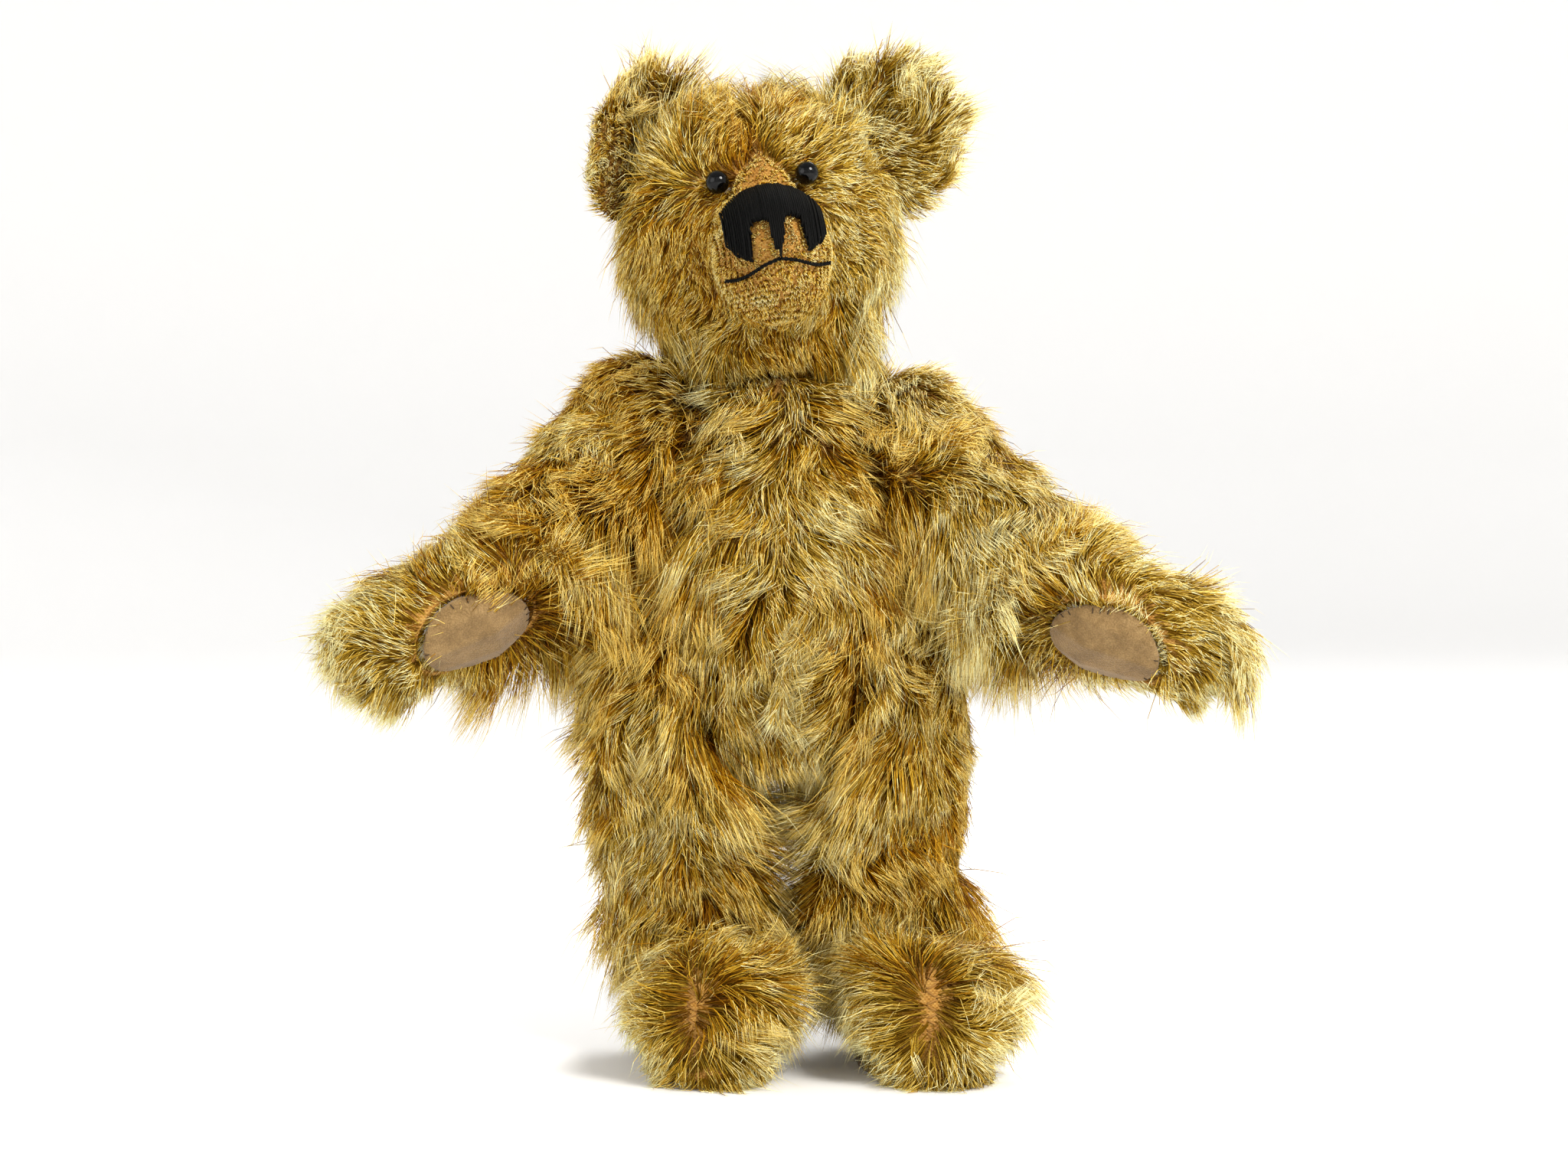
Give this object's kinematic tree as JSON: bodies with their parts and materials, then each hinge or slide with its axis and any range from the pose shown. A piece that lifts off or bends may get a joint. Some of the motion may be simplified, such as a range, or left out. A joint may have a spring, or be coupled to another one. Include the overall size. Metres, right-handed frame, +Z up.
{
  "type": "jointed teddy bear",
  "caption": "Standing long-pile mohair teddy bear with disc-jointed head, arms and legs, a clipped muzzle, stitched nose and mouth, glass eyes and felt pads.",
  "frame": {"origin": "middle of the footprint of the whole bear in its resting pose, on the floor that its soles stand on", "axes": "+Z up, the bear faces -Y, and its left side is at +X"},
  "size_m": [0.209, 0.083, 0.2418],
  "materials": {
    "mohair": "long straw-gold mohair pile on a woven tan backing, clipped short on the muzzle",
    "stuffing": "teased kapok and wood wool",
    "felt": "matt wool felt, taupe brown",
    "black_thread": "twisted black cotton thread",
    "black_glass": "polished opaque black glass",
    "hardboard": "pressed hardboard, sanded edge",
    "card": "grey-brown board",
    "steel": "bright zinc-plated steel"
  },
  "bodies": {
    "torso": {"torso_shell": "mohair", "torso_stuffing": "stuffing", "neck_torso_disc": "hardboard", "neck_torso_washer": "steel", "shoulder_left_torso_disc": "hardboard", "shoulder_left_torso_washer": "steel", "hip_left_torso_disc": "hardboard", "hip_left_torso_washer": "steel", "shoulder_right_torso_disc": "hardboard", "shoulder_right_torso_washer": "steel", "hip_right_torso_disc": "hardboard", "hip_right_torso_washer": "steel"},
    "head": {"eye_left": "black_glass", "eye_shank_left": "steel", "ear_left": "mohair", "mouth_stitch_left": "black_thread", "eye_right": "black_glass", "eye_shank_right": "steel", "ear_right": "mohair", "mouth_stitch_right": "black_thread", "head_shell": "mohair", "head_stuffing": "stuffing", "nose_embroidery": "black_thread", "neck_bolt": "steel", "neck_lock_nut": "steel", "neck_limb_disc": "hardboard", "neck_limb_washer": "steel"},
    "arm_left": {"arm_left_shell": "mohair", "arm_left_stuffing": "stuffing", "arm_left_paw_pad": "felt", "shoulder_left_bolt": "steel", "shoulder_left_lock_nut": "steel", "shoulder_left_limb_disc": "hardboard", "shoulder_left_limb_washer": "steel"},
    "arm_right": {"arm_right_shell": "mohair", "arm_right_stuffing": "stuffing", "arm_right_paw_pad": "felt", "shoulder_right_bolt": "steel", "shoulder_right_lock_nut": "steel", "shoulder_right_limb_disc": "hardboard", "shoulder_right_limb_washer": "steel"},
    "leg_left": {"leg_left_shell": "mohair", "leg_left_stuffing": "stuffing", "leg_left_foot_pad": "felt", "leg_left_insole": "card", "hip_left_bolt": "steel", "hip_left_lock_nut": "steel", "hip_left_limb_disc": "hardboard", "hip_left_limb_washer": "steel"},
    "leg_right": {"leg_right_shell": "mohair", "leg_right_stuffing": "stuffing", "leg_right_foot_pad": "felt", "leg_right_insole": "card", "hip_right_bolt": "steel", "hip_right_lock_nut": "steel", "hip_right_limb_disc": "hardboard", "hip_right_limb_washer": "steel"}
  },
  "joints": [
    {"name": "neck", "type": "hinge", "parent": "torso", "child": "head", "pos_m": [-0.00404, 0.01387, 0.1635], "axis": [0, 0, 1], "continuous": true},
    {"name": "shoulder_left", "type": "hinge", "parent": "torso", "child": "arm_left", "pos_m": [0.01646, 0.01387, 0.1415], "axis": [-0.8192, 0, -0.5736], "range_deg": [-75, 80]},
    {"name": "shoulder_right", "type": "hinge", "parent": "torso", "child": "arm_right", "pos_m": [-0.02304, 0.01387, 0.147], "axis": [-0.8746, 0, 0.4848], "range_deg": [-75, 80]},
    {"name": "hip_left", "type": "hinge", "parent": "torso", "child": "leg_left", "pos_m": [0.01746, 0.01387, 0.094], "axis": [-1, 0, 0], "range_deg": [-45, 90]},
    {"name": "hip_right", "type": "hinge", "parent": "torso", "child": "leg_right", "pos_m": [-0.02054, 0.01387, 0.094], "axis": [-1, 0, 0], "range_deg": [-45, 90]}
  ]
}
